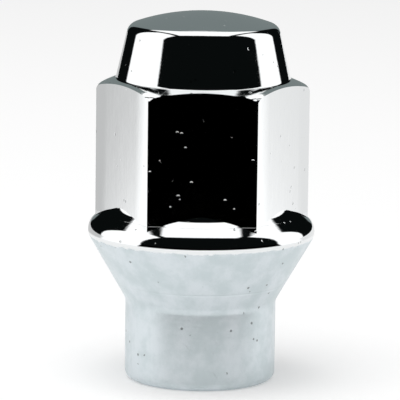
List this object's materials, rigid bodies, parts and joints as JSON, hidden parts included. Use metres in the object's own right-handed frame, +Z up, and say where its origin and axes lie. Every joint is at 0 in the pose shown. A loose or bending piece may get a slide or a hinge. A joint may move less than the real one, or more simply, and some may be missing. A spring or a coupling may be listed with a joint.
{
  "type": "acorn lug nut",
  "caption": "Closed acorn wheel nut: hexagon under a domed crown, flared collar, conical seat and extended shank with a blind threaded hole.",
  "frame": {"origin": "centre of the shank's end face, on the nut's axis", "axes": "+Z up the axis from the shank to the crown, -Y out of the middle of one flat, +X towards a corner of the hexagon"},
  "size_m": [0.0232, 0.0232, 0.038],
  "materials": {
    "chrome_plate": "mirror plate on the crown, hexagon and collar, satin on the seat and shank"
  },
  "bodies": {
    "root": {"nut": "chrome_plate"}
  },
  "joints": []
}
